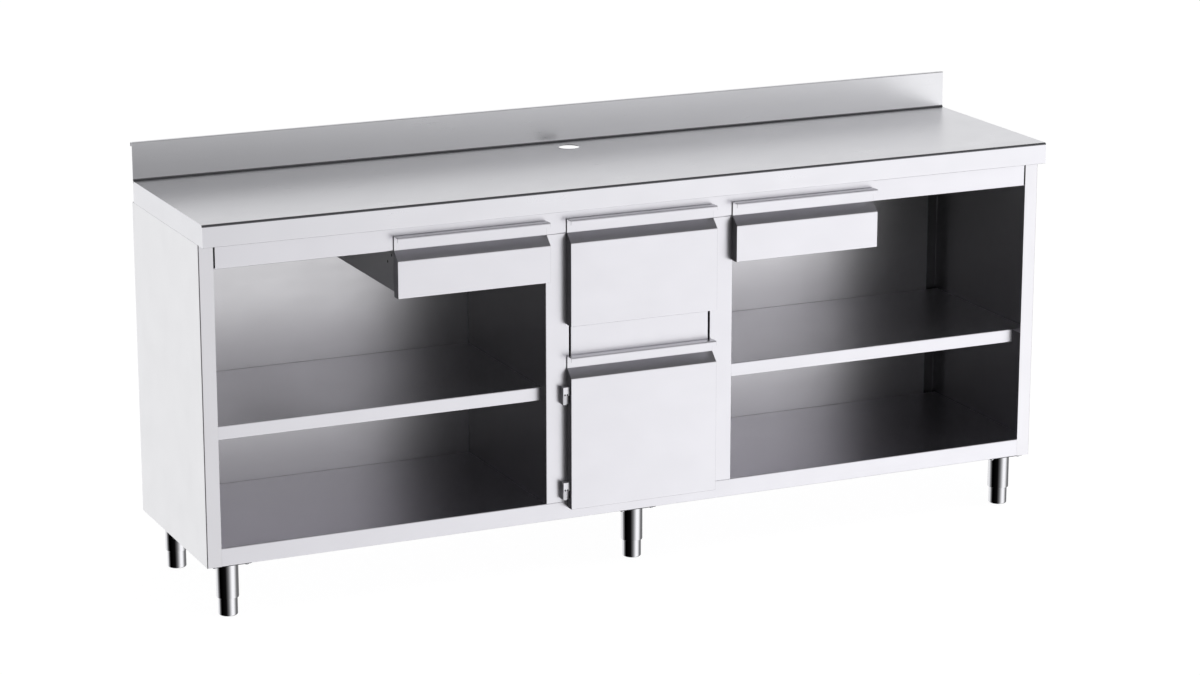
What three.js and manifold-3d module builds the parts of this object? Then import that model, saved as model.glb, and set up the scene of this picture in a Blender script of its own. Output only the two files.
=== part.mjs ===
// Stainless steel service station: a worktop with upstand on a folded sheet body with two open shelf bays,
// a centre module with a deep drawer and a hinged door, two hung drawers and six adjustable feet.
// Millimetres, +Z up, front towards -Y, origin on the floor under the middle of the worktop.

import * as THREE from 'three';
import { mergeVertices } from 'three/addons/utils/BufferGeometryUtils.js';
import Module from 'manifold-3d';

const wasm = await Module();
wasm.setup();

// Overall sizes
const LENGTH = 2500;
const DEPTH = 600;
const WORKTOP_HEIGHT = 1080;
const LEG_HEIGHT = 150;

// Sheet metal and clearances
const TOP_SHEET = 1.5;
const BODY_SHEET = 1.2;
const FRONT_SHEET = 1.2;
const BOX_SHEET = 1;
const BEND_RADIUS = 2.4;
const BEND_STEPS = 3;
const FIT = 0.3;

// Worktop
const TOP_LIP = 60;
const TOP_LIP_RETURN = 15;
const TOP_OVERHANG = 40;
const TOP_EDGE_RADIUS = 6;
const COVE_RADIUS = 6;
const UPSTAND_HEIGHT = 105;
const UPSTAND_HEM_DEPTH = 15;
const UPSTAND_HEM_DROP = 12;
const HOLE_DIAMETER = 60;
const HOLE_TO_UPSTAND = 74;
const HOLE_STEPS = 40;

// Worktop stiffeners
const STIFFENER_END_GAP = 20;
const FRONT_STIFFENER_WIDTH = 30;
const REAR_STIFFENER_WIDTH = 80;
const REAR_STIFFENER_HEIGHT = 30;
const REAR_STIFFENER_TO_HOLE = 110;

// Body
const POST_WIDTH = 40;
const REAR_RETURN = 38;
const BACK_PAN_DEPTH = 12.5;
const BASE_RAIL_HEIGHT = 50;
const BASE_RETURN = 20;
const TOP_RAIL_HEIGHT = 68;
const TOP_RAIL_DEPTH = 40;
const TOP_RAIL_END_GAP = 5;

// Centre module
const MODULE_WIDTH = 562;
const MODULE_POST_WIDTH = 70;
const MODULE_POST_RETURN = 25;
const DIVIDER_REAR_FLANGE = 20;
const FILLER_SIDE_GAP = 3.7;
const FILLER_FLANGE = 20;
const FILLER_TUCK_BOTTOM = 25;
const FILLER_TUCK_TOP = 13;

// Shelves
const SHELF_HEIGHT = 374;
const SHELF_FRONT = 38;
const SHELF_FRONT_RETURN = 12;
const SHELF_FLANGE = 25;
const SHELF_SETBACK = 30;
const SHELF_POST_GAP = 10;
const SHELF_DIVIDER_GAP = 5;

// Legs and adjustable feet
const LEG_DIAMETER = 60;
const LEG_DROP = 101;
const LEG_ROOF = 7;
const LEG_PLATE_LENGTH = 114;
const LEG_PLATE_DEPTH = 90;
const LEG_PLATE_THICKNESS = 3;
const LEG_END_INSET = 70;
const LEG_FRONT_INSET = 50;
const LEG_REAR_INSET = 73;
const LEG_EDGE = 1.5;
const FOOT_DIAMETER = 52;
const FOOT_INSERT = 45;
const FOOT_CLEARANCE = 0.4;
const FOOT_EDGE = 3;
const LEG_STEPS = 24;

// Drawer and door fronts with their folded pulls
const FRONT_WIDTH = 437;
const FRONT_DEPTH = 30;
const FRONT_GAP = 1;
const FRONT_RETURN = 25;
const PULL_SETBACK = 27;
const PULL_SLANT_RISE = 25;
const PULL_HEM = 12;
const DRAWER_PULL_STRIP = 38;
const DOOR_PULL_STRIP = 34;
const DRAWER_TOP_GAP = 28;
const HUNG_FRONT_HEIGHT = 164;
const HUNG_FRONT_OVERLAP = 3;
const DEEP_FRONT_HEIGHT = 293;
const DOOR_TO_DEEP_FRONT = 87;
const DOOR_OVERLAP = 16;
const DOOR_PAN_DEPTH = 8;
const DOOR_PAN_TOP_GAP = 8;

// Drawer boxes and slides
const BOX_DEPTH = 480;
const BOX_RAIL_GAP = 14;
const HUNG_BOX_HEIGHT = 90;
const FILLER_BOX_GAP = 4;
const SLIDE_LENGTH = 450;
const SLIDE_WIDTH = 13;
const SLIDE_HEIGHT = 36;
const SLIDE_FLANGE = 10;
const SLIDE_SHEET = 1.5;
const SLIDE_PLAY = 0.4;
const SLIDE_SETBACK = 5;
const HANGER_FLANGE = 20;
const HANGER_BELOW_BOX = 5;
const HANGER_RAIL_GAP = 9;
const CARRIER_HEIGHT = 70;
const CARRIER_FLANGE = 20;

// Door hinges and catch
const HINGE_HEIGHT = 49;
const HINGE_HALF_WIDTH = 9.7;
const HINGE_AXIS_TO_DOOR = 10;
const HINGE_AXIS_TO_POST = 11;
const HINGE_SWING_GAP = 0.5;
const HINGE_ABOVE_DOOR_BOTTOM = 26.5;
const HINGE_BELOW_FACE_TOP = 24;
const HINGE_PIN_DIAMETER = 5;
const HINGE_PIN_END = 6;
const HINGE_PIN_STEPS = 16;
const CATCH_WIDTH = 12;
const CATCH_DEPTH = 16;
const CATCH_HEIGHT = 40;
const STRIKE_THICKNESS = 0.7;

// Levels and planes that several pieces share
const halfLength = LENGTH / 2;
const bodyBottom = LEG_HEIGHT;
const bodyTop = WORKTOP_HEIGHT - TOP_LIP;
const topUnderside = WORKTOP_HEIGHT - TOP_SHEET;
const topFront = -DEPTH / 2;
const bodyFront = topFront + TOP_OVERHANG;
const bodyBack = DEPTH / 2;
const upstandFace = bodyBack - UPSTAND_HEM_DEPTH;
const backInner = bodyBack - BACK_PAN_DEPTH;
const sideInner = halfLength - BODY_SHEET;
const floorTop = bodyBottom + BASE_RAIL_HEIGHT;
const railBottom = bodyTop - TOP_RAIL_HEIGHT;
const railBack = bodyFront + TOP_RAIL_DEPTH;
const moduleHalf = MODULE_WIDTH / 2;
const openingHalf = moduleHalf - MODULE_POST_WIDTH;
const shelfTop = bodyBottom + SHELF_HEIGHT;
const shelfFront = bodyFront + SHELF_SETBACK;
const frontBack = bodyFront - FRONT_GAP;
const frontFace = frontBack - FRONT_DEPTH;
const pullFace = frontFace + PULL_SETBACK;
const drawerTop = bodyTop - DRAWER_TOP_GAP;
const boxTop = railBottom - BOX_RAIL_GAP;
const hungCentre = moduleHalf - HUNG_FRONT_OVERLAP + FRONT_WIDTH / 2;
const hungOuter = hungCentre + FRONT_WIDTH / 2;
const doorBottom = floorTop - DOOR_OVERLAP;
const deepBottom = drawerTop - DEEP_FRONT_HEIGHT;
const doorTop = deepBottom - DOOR_TO_DEEP_FRONT;
const fillerTop = deepBottom + FILLER_TUCK_TOP;

// Brushed sheet, polished tube and dark fittings
const brushedSheet = { color: 0xd9d9de, roughness: 0.35, metalness: 1 };
const polishedTube = { color: 0xe2e2e6, roughness: 0.12, metalness: 1 };
const platedSteel = { color: 0xb8babd, roughness: 0.4, metalness: 1 };
const darkPlastic = { color: 0x2b2b2e, roughness: 0.6, metalness: 0 };

const station = new THREE.Group();

function piece(parent, name, geometry, finish) {
  const mesh = new THREE.Mesh(geometry, new THREE.MeshStandardMaterial(finish));
  mesh.name = name;
  parent.add(mesh);
  return mesh;
}

// A closed geometry as a solid that can be joined and cut
function solid(geometry) {
  const bare = geometry.clone();
  bare.deleteAttribute('normal');
  bare.deleteAttribute('uv');
  const merged = mergeVertices(bare);
  const vertProperties = new Float32Array(merged.attributes.position.array);
  const triVerts = new Uint32Array(merged.index.array);
  return new wasm.Manifold(new wasm.Mesh({ numProp: 3, vertProperties, triVerts }));
}

function geometryOf(shape) {
  const mesh = shape.getMesh();
  const geometry = new THREE.BufferGeometry();
  geometry.setAttribute('position', new THREE.BufferAttribute(mesh.vertProperties, 3));
  geometry.setIndex(new THREE.BufferAttribute(mesh.triVerts, 1));
  return geometry;
}

function join(first, ...others) {
  const joined = others.reduce((shape, other) => shape.add(solid(other)), solid(first));
  return geometryOf(joined);
}

function cut(first, ...others) {
  const left = others.reduce((shape, other) => shape.subtract(solid(other)), solid(first));
  return geometryOf(left);
}

function block(x0, x1, y0, y1, z0, z1) {
  const box = new THREE.BoxGeometry(x1 - x0, y1 - y0, z1 - z0);
  return box.translate((x0 + x1) / 2, (y0 + y1) / 2, (z0 + z1) / 2);
}

// Replaces each inner corner of a path by an arc; radii holds one radius for each inner corner
function roundedPath(points, radii) {
  const path = points.map(([u, v]) => new THREE.Vector2(u, v));
  const rounded = [path[0]];
  for (let i = 1; i < path.length - 1; i += 1) {
    const corner = path[i];
    const before = path[i - 1].clone().sub(corner).normalize();
    const after = path[i + 1].clone().sub(corner).normalize();
    const half = Math.acos(THREE.MathUtils.clamp(before.dot(after), -1, 1)) / 2;
    const radius = radii[i - 1];
    const middle = before.clone().add(after).normalize();
    const centre = corner.clone().addScaledVector(middle, radius / Math.sin(half));
    const start = corner.clone().addScaledVector(before, radius / Math.tan(half)).sub(centre);
    const turn = Math.sign(before.cross(after)) * (Math.PI - 2 * half);
    for (let step = 0; step <= BEND_STEPS; step += 1) {
      const spoke = start.clone().rotateAround(new THREE.Vector2(), -turn * step / BEND_STEPS);
      rounded.push(centre.clone().add(spoke));
    }
  }
  rounded.push(path[path.length - 1]);
  return rounded;
}

// The same path moved to its right by a distance, with mitred corners
function offsetPath(path, distance) {
  const side = (a, b) => new THREE.Vector2(b.y - a.y, a.x - b.x).normalize();
  return path.map((point, i) => {
    const before = side(path[Math.max(i - 1, 0)], path[Math.max(i, 1)]);
    const after = side(path[Math.min(i, path.length - 2)], path[Math.min(i + 1, path.length - 1)]);
    const mitre = before.clone().add(after).normalize();
    return point.clone().addScaledVector(mitre, distance / mitre.dot(before));
  });
}

// Section of a folded sheet: points run along its outer face with the material on their right
function foldedSheet(points, thickness, radii) {
  const bends = radii ?? points.slice(2).map(() => BEND_RADIUS);
  const outer = roundedPath(points, bends);
  const inner = offsetPath(outer, thickness).reverse();
  return new THREE.Shape([...outer, ...inner]);
}

// The mirror image of a path about the middle of the station, with its material on the right again
function mirrored(points) {
  return points.map(([u, v]) => [-u, v]).reverse();
}

function outline(points) {
  return new THREE.Shape(points.map(([u, v]) => new THREE.Vector2(u, v)));
}

// Extrusions of a section: (y, z) along X, (x, z) along Y and (x, y) along Z
const xAxis = new THREE.Vector3(1, 0, 0);
const yAxis = new THREE.Vector3(0, 1, 0);
const zAxis = new THREE.Vector3(0, 0, 1);

function alongX(shape, x0, x1) {
  const run = new THREE.ExtrudeGeometry(shape, { depth: x1 - x0, bevelEnabled: false });
  return run.applyMatrix4(new THREE.Matrix4().makeBasis(yAxis, zAxis, xAxis)).translate(x0, 0, 0);
}

function alongY(shape, y0, y1) {
  const run = new THREE.ExtrudeGeometry(shape, { depth: y1 - y0, bevelEnabled: false });
  const basis = new THREE.Matrix4().makeBasis(xAxis, zAxis, yAxis.clone().negate());
  return run.applyMatrix4(basis).translate(0, y1, 0);
}

function alongZ(shape, z0, z1) {
  const run = new THREE.ExtrudeGeometry(shape, { depth: z1 - z0, bevelEnabled: false });
  return run.translate(0, 0, z0);
}

// A turned piece: profile points are (radius, height), up the outside
function turned(profile, steps) {
  const points = profile.map(([radius, height]) => new THREE.Vector2(radius, height));
  return new THREE.LatheGeometry(points, steps).rotateX(Math.PI / 2);
}

// Worktop: one sheet from the front return over the lip and the top to the upstand and its rear hem,
// closed at both ends by side lips, with a service hole near the upstand
{
  const lipBottom = bodyTop;
  const upstandTop = WORKTOP_HEIGHT + UPSTAND_HEIGHT;
  const path = [
    [topFront + TOP_LIP_RETURN, lipBottom],
    [topFront, lipBottom],
    [topFront, WORKTOP_HEIGHT],
    [upstandFace, WORKTOP_HEIGHT],
    [upstandFace, upstandTop],
    [bodyBack, upstandTop],
    [bodyBack, upstandTop - UPSTAND_HEM_DROP],
  ];
  const bends = [BEND_RADIUS, TOP_EDGE_RADIUS, COVE_RADIUS, BEND_RADIUS, BEND_RADIUS];
  const sheet = alongX(foldedSheet(path, TOP_SHEET, bends), -halfLength, halfLength);
  const lipOutline = roundedPath(
    [
      [upstandFace, lipBottom],
      [topFront, lipBottom],
      [topFront, WORKTOP_HEIGHT],
      [upstandFace, WORKTOP_HEIGHT],
    ],
    [BEND_RADIUS, TOP_EDGE_RADIUS],
  );
  const lip = new THREE.Shape(offsetPath(lipOutline, TOP_SHEET / 2));
  const returnTop = lipBottom + TOP_SHEET;
  const returnInner = halfLength - TOP_LIP_RETURN;
  const returnOuter = halfLength - TOP_SHEET / 2;
  const returnFront = topFront + TOP_LIP_RETURN / 2;
  const top = join(
    sheet,
    alongX(lip, -halfLength, -halfLength + TOP_SHEET),
    alongX(lip, halfLength - TOP_SHEET, halfLength),
    block(-returnOuter, -returnInner, returnFront, upstandFace, lipBottom, returnTop),
    block(returnInner, returnOuter, returnFront, upstandFace, lipBottom, returnTop),
  );
  const drill = new THREE.CylinderGeometry(HOLE_DIAMETER / 2, HOLE_DIAMETER / 2, TOP_LIP, HOLE_STEPS);
  drill.rotateX(Math.PI / 2).translate(0, upstandFace - HOLE_TO_UPSTAND, WORKTOP_HEIGHT);
  piece(station, 'worktop', cut(top, drill), brushedSheet);
}

// Stiffeners under the worktop: a front channel standing on the top rail and a low rear hat section
{
  const stiffenerHalf = halfLength - STIFFENER_END_GAP;
  const frontMiddle = bodyFront + TOP_RAIL_DEPTH / 2;
  const rearFront = upstandFace - HOLE_TO_UPSTAND - REAR_STIFFENER_TO_HOLE;
  const channels = [
    ['worktop_front_stiffener', frontMiddle - FRONT_STIFFENER_WIDTH / 2, FRONT_STIFFENER_WIDTH, bodyTop],
    [
      'worktop_rear_stiffener',
      rearFront,
      REAR_STIFFENER_WIDTH,
      topUnderside - REAR_STIFFENER_HEIGHT,
    ],
  ];
  for (const [name, front, width, bottom] of channels) {
    const path = [
      [front, bottom],
      [front, topUnderside],
      [front + width, topUnderside],
      [front + width, bottom],
    ];
    const section = foldedSheet(path, BODY_SHEET);
    piece(station, name, alongX(section, -stiffenerHalf, stiffenerHalf), brushedSheet);
  }
}

// Side panels: sheets with a front return as the post and a rear return for the back
{
  const path = [
    [-halfLength + POST_WIDTH, bodyFront],
    [-halfLength, bodyFront],
    [-halfLength, bodyBack],
    [-halfLength + REAR_RETURN, bodyBack],
  ];
  const left = alongZ(foldedSheet(path, BODY_SHEET), bodyBottom, bodyTop);
  const right = alongZ(foldedSheet(mirrored(path), BODY_SHEET), bodyBottom, bodyTop);
  piece(station, 'side_panel_left', left, brushedSheet);
  piece(station, 'side_panel_right', right, brushedSheet);
}

// Back panel: a shallow pan between the rear returns, its flanges turned to the rear
{
  const half = halfLength - REAR_RETURN - FIT;
  const hollow = half - BODY_SHEET;
  const pan = cut(
    block(-half, half, backInner, bodyBack, bodyBottom, bodyTop),
    block(
      -hollow,
      hollow,
      backInner + BODY_SHEET,
      bodyBack + BACK_PAN_DEPTH,
      bodyBottom + BODY_SHEET,
      bodyTop - BODY_SHEET,
    ),
  );
  piece(station, 'back_panel', pan, brushedSheet);
}

// Base: the bottom rail, the floor of the bays and the rear flange in one sheet, notched behind the posts
{
  const rear = backInner - FIT;
  const path = [
    [bodyFront + BASE_RETURN, bodyBottom],
    [bodyFront, bodyBottom],
    [bodyFront, floorTop],
    [rear, floorTop],
    [rear, bodyBottom],
    [rear - BASE_RETURN, bodyBottom],
  ];
  const half = sideInner - FIT;
  const railHalf = halfLength - POST_WIDTH - FIT;
  const notchFront = bodyFront - TOP_OVERHANG;
  const notchBack = bodyFront + BEND_RADIUS + FIT;
  const base = cut(
    alongX(foldedSheet(path, BODY_SHEET), -half, half),
    block(-halfLength, -railHalf, notchFront, notchBack, 0, WORKTOP_HEIGHT),
    block(railHalf, halfLength, notchFront, notchBack, 0, WORKTOP_HEIGHT),
  );
  piece(station, 'base_floor', base, brushedSheet);
}

// Top rail: a channel between the posts, its flanges running on behind them to the side panels
{
  const path = [
    [railBack, railBottom],
    [bodyFront, railBottom],
    [bodyFront, bodyTop],
    [railBack, bodyTop],
  ];
  const half = sideInner - FIT;
  const railHalf = halfLength - POST_WIDTH - TOP_RAIL_END_GAP;
  const notchFront = bodyFront - TOP_OVERHANG;
  const notchBack = bodyFront + BEND_RADIUS + FIT;
  const rail = cut(
    alongX(foldedSheet(path, BODY_SHEET), -half, half),
    block(-halfLength, -railHalf, notchFront, notchBack, 0, WORKTOP_HEIGHT),
    block(railHalf, halfLength, notchFront, notchBack, 0, WORKTOP_HEIGHT),
  );
  piece(station, 'top_rail', rail, brushedSheet);
}

// Module dividers: sheets from the back panel to the front, folded into a post with a return
{
  const rear = backInner - FIT;
  const path = [
    [-openingHalf, bodyFront + MODULE_POST_RETURN],
    [-openingHalf, bodyFront],
    [-moduleHalf, bodyFront],
    [-moduleHalf, rear],
    [-moduleHalf + DIVIDER_REAR_FLANGE, rear],
  ];
  const left = alongZ(foldedSheet(path, BODY_SHEET), floorTop, railBottom);
  const right = alongZ(foldedSheet(mirrored(path), BODY_SHEET), floorTop, railBottom);
  piece(station, 'divider_left', left, brushedSheet);
  piece(station, 'divider_right', right, brushedSheet);
}

// Filler panel: the fixed cover between the deep drawer and the door, held by stepped side flanges
{
  const half = openingHalf - FILLER_SIDE_GAP;
  const flangeBack = bodyFront + FILLER_FLANGE;
  const seat = openingHalf - FIT;
  const path = [
    [seat, flangeBack],
    [half, flangeBack],
    [half, bodyFront],
    [-half, bodyFront],
    [-half, flangeBack],
    [-seat, flangeBack],
  ];
  const filler = alongZ(foldedSheet(path, BODY_SHEET), doorTop - FILLER_TUCK_BOTTOM, fillerTop);
  piece(station, 'filler_panel', filler, brushedSheet);
}

// Shelves: one fixed shelf in each bay, with a deep front fold and turned-down edges
{
  const rear = backInner - FIT;
  const path = [
    [shelfFront + SHELF_FRONT_RETURN, shelfTop - SHELF_FRONT],
    [shelfFront, shelfTop - SHELF_FRONT],
    [shelfFront, shelfTop],
    [rear, shelfTop],
    [rear, shelfTop - SHELF_FLANGE],
  ];
  const section = foldedSheet(path, BODY_SHEET);
  const flangeFront = shelfFront + SHELF_FRONT_RETURN + BEND_RADIUS;
  const flangeBottom = shelfTop - SHELF_FLANGE;
  const notchTop = shelfTop - BODY_SHEET;
  const outerEnd = sideInner - FIT;
  const innerEnd = moduleHalf + FIT;
  const frontOuter = halfLength - POST_WIDTH - SHELF_POST_GAP;
  const frontInner = moduleHalf + SHELF_DIVIDER_GAP;
  const notch = (x0, x1) =>
    block(x0, x1, shelfFront - SHELF_SETBACK, flangeFront, shelfTop - 2 * SHELF_FRONT, notchTop);
  const flangeTop = shelfTop - BODY_SHEET / 2;
  const flangeRear = rear - BEND_RADIUS;
  const flange = (x0, x1) => block(x0, x1, flangeFront, flangeRear, flangeBottom, flangeTop);
  const right = join(
    cut(
      alongX(section, innerEnd, outerEnd),
      notch(innerEnd - FIT, frontInner),
      notch(frontOuter, outerEnd + FIT),
    ),
    flange(innerEnd, innerEnd + BODY_SHEET),
    flange(outerEnd - BODY_SHEET, outerEnd),
  );
  const left = join(
    cut(
      alongX(section, -outerEnd, -innerEnd),
      notch(-frontInner, -innerEnd + FIT),
      notch(-outerEnd - FIT, -frontOuter),
    ),
    flange(-innerEnd - BODY_SHEET, -innerEnd),
    flange(-outerEnd, -outerEnd + BODY_SHEET),
  );
  piece(station, 'shelf_left', left, brushedSheet);
  piece(station, 'shelf_right', right, brushedSheet);
}

// Legs: a fixed tube welded to a plate under the base, with an adjustable foot up its bore
{
  const tubeBottom = bodyBottom - LEG_DROP;
  const tubeTop = bodyBottom - LEG_PLATE_THICKNESS / 2;
  const plateBottom = bodyBottom - LEG_PLATE_THICKNESS;
  const outer = LEG_DIAMETER / 2;
  const inner = FOOT_DIAMETER / 2;
  const bore = inner + FOOT_CLEARANCE;
  const boreTop = plateBottom - LEG_ROOF;
  const tube = [
    [0, boreTop],
    [bore, boreTop],
    [bore, tubeBottom],
    [outer - LEG_EDGE, tubeBottom],
    [outer, tubeBottom + LEG_EDGE],
    [outer, tubeTop],
    [0, tubeTop],
  ];
  const footTop = tubeBottom + FOOT_INSERT;
  const foot = [
    [0, 0],
    [inner - FOOT_EDGE, 0],
    [inner, FOOT_EDGE],
    [inner, footTop],
    [0, footTop],
  ];
  const plateHalf = LEG_PLATE_LENGTH / 2;
  const plateReach = LEG_PLATE_DEPTH / 2;
  const endPlace = halfLength - LEG_END_INSET;
  const rows = [
    ['front', bodyFront + LEG_FRONT_INSET],
    ['rear', bodyBack - LEG_REAR_INSET],
  ];
  const columns = [
    ['left', -endPlace],
    ['centre', 0],
    ['right', endPlace],
  ];
  for (const [row, y] of rows) {
    for (const [column, x] of columns) {
      const place = new THREE.Group();
      place.position.set(x, y, 0);
      station.add(place);
      const leg = join(
        turned(tube, LEG_STEPS),
        block(-plateHalf, plateHalf, -plateReach, plateReach, plateBottom, bodyBottom),
      );
      piece(place, `leg_${row}_${column}`, leg, polishedTube);
      piece(place, `foot_${row}_${column}`, turned(foot, LEG_STEPS), polishedTube);
    }
  }
}

// Front skin of a drawer or door, centred on x = 0: bottom flange, face, slant, pull strip and hemmed lip,
// closed by end plates; a drawer front also has returns that its box is fixed to
function frontSkin(bottom, top, strip, hasReturns) {
  const half = FRONT_WIDTH / 2;
  const slantTop = top - strip;
  const faceTop = slantTop - PULL_SLANT_RISE;
  const lipUnderside = top - FRONT_SHEET;
  const hemBack = frontFace + FRONT_SHEET;
  const path = [
    [frontBack, bottom],
    [frontFace, bottom],
    [frontFace, faceTop],
    [pullFace, slantTop],
    [pullFace, lipUnderside],
    [hemBack, lipUnderside],
    [hemBack, top - PULL_HEM],
  ];
  const endOutline = roundedPath(
    [[frontBack, slantTop], ...path.slice(0, 4)],
    [BEND_RADIUS, BEND_RADIUS, BEND_RADIUS],
  );
  const end = new THREE.Shape(offsetPath(endOutline, FRONT_SHEET / 2));
  const skin = hasReturns ? [[frontBack, bottom + FRONT_RETURN], ...path] : path;
  const pieces = [
    alongX(end, -half, -half + FRONT_SHEET),
    alongX(end, half - FRONT_SHEET, half),
  ];
  if (hasReturns) {
    const returnFront = frontBack - 1.5 * FRONT_SHEET;
    const returnBottom = bottom + BEND_RADIUS;
    const returnInner = half - FRONT_RETURN;
    const returnOuter = half - FRONT_SHEET / 2;
    pieces.push(
      block(-returnOuter, -returnInner, returnFront, frontBack, returnBottom, faceTop),
      block(returnInner, returnOuter, returnFront, frontBack, returnBottom, faceTop),
    );
  }
  return join(alongX(foldedSheet(skin, FRONT_SHEET), -half, half), ...pieces);
}

// An open drawer box between two x planes, its front wall on the back of the drawer front
function drawerBox(x0, x1, bottom) {
  const back = frontBack + BOX_DEPTH;
  return cut(
    block(x0, x1, frontBack, back, bottom, boxTop),
    block(
      x0 + BOX_SHEET,
      x1 - BOX_SHEET,
      frontBack + BOX_SHEET,
      back - BOX_SHEET,
      bottom + BOX_SHEET,
      boxTop + BOX_RAIL_GAP,
    ),
  );
}

// A slide at one side of a drawer: a fixed channel on the carrier's face and a moving channel inside it.
// Towards is +1 where the drawer lies on the +X side of the carrier, and -1 on the other side.
function slidePair(drawer, side, carrierFace, towards, middle) {
  const half = SLIDE_HEIGHT / 2;
  const movingHalf = half - SLIDE_SHEET - SLIDE_PLAY;
  const front = bodyFront + SLIDE_SETBACK;
  const fixed = [
    [SLIDE_FLANGE, -half],
    [0, -half],
    [0, half],
    [SLIDE_FLANGE, half],
  ];
  const moving = [
    [SLIDE_WIDTH - SLIDE_FLANGE, movingHalf],
    [SLIDE_WIDTH, movingHalf],
    [SLIDE_WIDTH, -movingHalf],
    [SLIDE_WIDTH - SLIDE_FLANGE, -movingHalf],
  ];
  for (const [name, path] of [['fixed', fixed], ['moving', moving]]) {
    const section = foldedSheet(towards > 0 ? path : mirrored(path), SLIDE_SHEET);
    const channel = alongY(section, front, front + SLIDE_LENGTH);
    const mesh = piece(station, `${drawer}_${name}_slide_${side}`, channel, platedSteel);
    mesh.position.set(carrierFace, 0, middle);
  }
}

// Hung drawers: one in each bay beside the module, on a slide at the divider and one on a hanger plate
for (const [side, sign] of [['left', -1], ['right', 1]]) {
  const name = `${side}_drawer`;
  const skin = frontSkin(drawerTop - HUNG_FRONT_HEIGHT, drawerTop, DRAWER_PULL_STRIP, true);
  piece(station, `${name}_front`, skin, brushedSheet).position.set(sign * hungCentre, 0, 0);
  const hangerInner = hungOuter - BODY_SHEET;
  const bottom = boxTop - HUNG_BOX_HEIGHT;
  const near = moduleHalf + SLIDE_WIDTH;
  const far = hangerInner - SLIDE_WIDTH;
  const box = drawerBox(Math.min(sign * near, sign * far), Math.max(sign * near, sign * far), bottom);
  piece(station, `${name}_box`, box, brushedSheet);
  const middle = (bottom + boxTop) / 2;
  slidePair(name, 'inner', sign * moduleHalf, sign, middle);
  slidePair(name, 'outer', sign * hangerInner, -sign, middle);

  // The hanger hangs behind the top rail, passes under it to the front and ends on the back panel
  const hangerBottom = bottom - HANGER_BELOW_BOX;
  const hangerRear = backInner - FIT;
  const hangerFront = bodyFront + FIT;
  const hangerNeck = railBack + FIT;
  const neckTop = railBottom - HANGER_RAIL_GAP;
  const plate = outline([
    [hangerFront, hangerBottom],
    [hangerRear, hangerBottom],
    [hangerRear, bodyTop],
    [hangerNeck, bodyTop],
    [hangerNeck, neckTop],
    [hangerFront, neckTop],
  ]);
  const span = (a, b) => [Math.min(sign * a, sign * b), Math.max(sign * a, sign * b)];
  const flangeSpan = span(hangerInner, hungOuter + HANGER_FLANGE);
  const hanger = join(
    alongX(plate, ...span(hangerInner, hungOuter)),
    block(...flangeSpan, hangerRear - BODY_SHEET, hangerRear, hangerBottom, bodyTop),
    block(...flangeSpan, hangerNeck, hangerRear, bodyTop - BODY_SHEET, bodyTop),
  );
  piece(station, `drawer_hanger_${side}`, hanger, brushedSheet);
}

// Deep drawer in the module, on carriers that run from the post returns to the back panel
{
  const name = 'deep_drawer';
  const skin = frontSkin(deepBottom, drawerTop, DRAWER_PULL_STRIP, true);
  piece(station, `${name}_front`, skin, brushedSheet);
  const half = openingHalf - SLIDE_WIDTH;
  const bottom = fillerTop + FILLER_BOX_GAP;
  piece(station, `${name}_box`, drawerBox(-half, half, bottom), brushedSheet);
  const middle = (bottom + boxTop) / 2;
  slidePair(name, 'left', -openingHalf, 1, middle);
  slidePair(name, 'right', openingHalf, -1, middle);

  const rear = backInner - FIT;
  const path = [
    [-openingHalf - CARRIER_FLANGE, rear],
    [-openingHalf, rear],
    [-openingHalf, bodyFront + MODULE_POST_RETURN + FIT],
  ];
  const low = middle - CARRIER_HEIGHT / 2;
  const high = middle + CARRIER_HEIGHT / 2;
  const left = alongZ(foldedSheet(path, BODY_SHEET), low, high);
  const right = alongZ(foldedSheet(mirrored(path), BODY_SHEET), low, high);
  piece(station, `${name}_carrier_left`, left, brushedSheet);
  piece(station, `${name}_carrier_right`, right, brushedSheet);
}

// Door: a front skin with an inner pan, a steel strike on its back and a magnet catch on the right post
{
  piece(station, 'door_skin', frontSkin(doorBottom, doorTop, DOOR_PULL_STRIP, false), brushedSheet);
  const panHalf = FRONT_WIDTH / 2 - FRONT_SHEET - FIT;
  const panHollow = panHalf - BODY_SHEET;
  const panBottom = doorBottom + FRONT_SHEET + FIT;
  const panTop = doorTop - DOOR_PULL_STRIP - DOOR_PAN_TOP_GAP;
  const panFront = frontBack - DOOR_PAN_DEPTH;
  const pan = cut(
    block(-panHalf, panHalf, panFront, frontBack, panBottom, panTop),
    block(
      -panHollow,
      panHollow,
      panFront - DOOR_PAN_DEPTH,
      frontBack - BODY_SHEET,
      panBottom + BODY_SHEET,
      panTop - BODY_SHEET,
    ),
  );
  piece(station, 'door_inner_pan', pan, brushedSheet);

  const catchOuter = openingHalf - FIT;
  const catchInner = catchOuter - CATCH_WIDTH;
  const middle = (doorBottom + doorTop) / 2;
  const low = middle - CATCH_HEIGHT / 2;
  const high = middle + CATCH_HEIGHT / 2;
  const magnet = block(catchInner, catchOuter, bodyFront, bodyFront + CATCH_DEPTH, low, high);
  piece(station, 'door_catch', magnet, darkPlastic);
  const strike = block(catchInner, catchOuter, frontBack, frontBack + STRIKE_THICKNESS, low, high);
  piece(station, 'door_strike', strike, platedSteel);
}

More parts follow.
